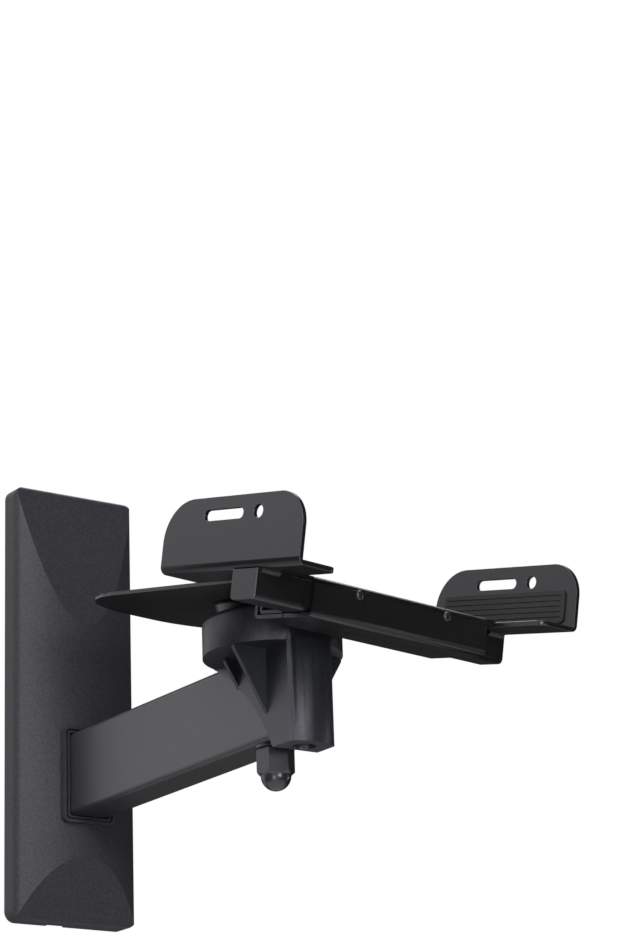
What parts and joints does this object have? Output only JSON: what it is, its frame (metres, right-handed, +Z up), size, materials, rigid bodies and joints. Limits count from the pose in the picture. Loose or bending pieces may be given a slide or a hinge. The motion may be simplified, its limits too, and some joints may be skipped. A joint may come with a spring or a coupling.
{
  "type": "speaker wall bracket",
  "caption": "Side-clamping wall bracket: curved wall cover, square arm, cast ball-seat hub and a tilting, swivelling tray with two sliding jaws.",
  "frame": {"origin": "centre of the wall plate's back face", "axes": "+X to the right seen from the room, +Y into the wall, +Z up"},
  "size_m": [0.1701, 0.2888, 0.205],
  "materials": {
    "plate_steel": "satin",
    "cover_plastic": "fine texture",
    "arm_steel": "satin powder coat",
    "hub_casting": "fine textured coat",
    "bare_steel": "zinc plated",
    "black_steel": "satin",
    "tray_steel": "satin powder coat",
    "pad_foam": "matt"
  },
  "bodies": {
    "bracket": {"wall_plate": "plate_steel", "root_weld": "plate_steel", "wall_cover": "cover_plastic", "arm_tube": "arm_steel", "arm_hub": "hub_casting"},
    "swivel": {"pivot_bolt": "bare_steel", "saddle_washer": "bare_steel", "flat_washer": "black_steel", "cap_nut": "black_steel"},
    "tray": {"tray_plate": "tray_steel", "rear_guide": "tray_steel", "tray_pads": "pad_foam", "front_lock_screws": "bare_steel", "rear_lock_screws": "bare_steel"},
    "left_clamp": {"left_jaw": "tray_steel", "left_rail": "tray_steel", "left_welds": "tray_steel", "left_jaw_pad": "pad_foam"},
    "right_clamp": {"right_jaw": "tray_steel", "right_rail": "tray_steel", "right_welds": "tray_steel", "right_jaw_pad": "pad_foam"}
  },
  "joints": [
    {"name": "swivel", "type": "hinge", "parent": "bracket", "child": "swivel", "pos_m": [0, -0.1745, 0], "axis": [0, 0, 1], "range_deg": [-99.2, 80.8]},
    {"name": "tilt", "type": "hinge", "parent": "swivel", "child": "tray", "pos_m": [0, -0.1745, 0.0108], "axis": [0.9871, 0.1599, 0], "range_deg": [-21.4, 0]},
    {"name": "left_clamp_slide", "type": "slide", "parent": "tray", "child": "left_clamp", "axis": [-0.9871, -0.1599, 0], "range_m": [0, 0.04]},
    {"name": "right_clamp_slide", "type": "slide", "parent": "tray", "child": "right_clamp", "axis": [0.9871, 0.1599, 0], "range_m": [0, 0.04]}
  ]
}
